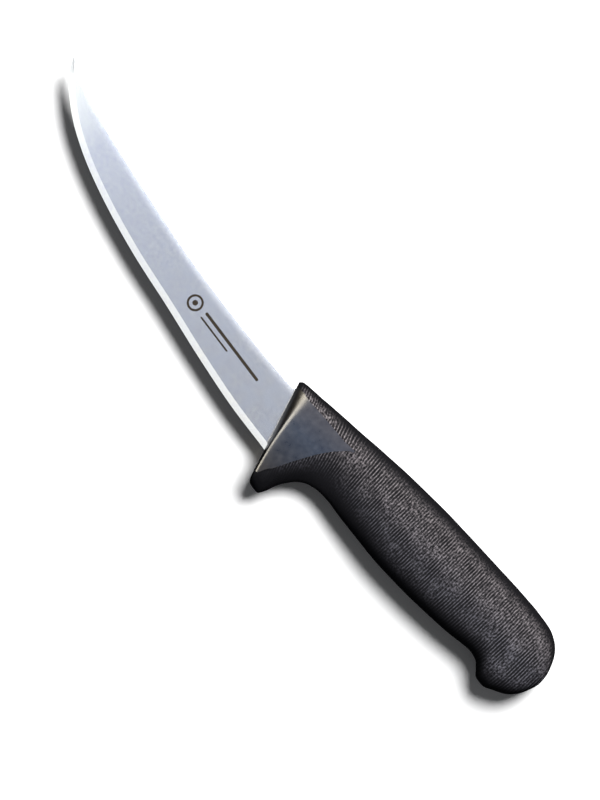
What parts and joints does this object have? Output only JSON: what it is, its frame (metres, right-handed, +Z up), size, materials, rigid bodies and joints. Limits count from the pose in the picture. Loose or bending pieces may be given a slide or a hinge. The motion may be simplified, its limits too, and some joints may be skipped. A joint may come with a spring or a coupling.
{
  "type": "boning knife",
  "caption": "Curved narrow boning knife with an upswept point, ribbed moulded handle, smooth flats behind the blade, finger guard and butt hook.",
  "frame": {"origin": "centre of the bottom of the knife's bounding box, on the surface that the knife lies on, right flank down", "axes": "+X from the tip towards the butt, +Y from the cutting edge towards the spine, +Z up out of the left flank"},
  "size_m": [0.27, 0.0654, 0.0204],
  "materials": {
    "blade_steel": "fine satin, lightly polished",
    "core_plastic": "smooth satin moulded",
    "grip_plastic": "fine wavy ribs, matte"
  },
  "bodies": {
    "root": {"blade": "blade_steel", "handle_core": "core_plastic", "handle_grip": "grip_plastic"}
  },
  "joints": []
}
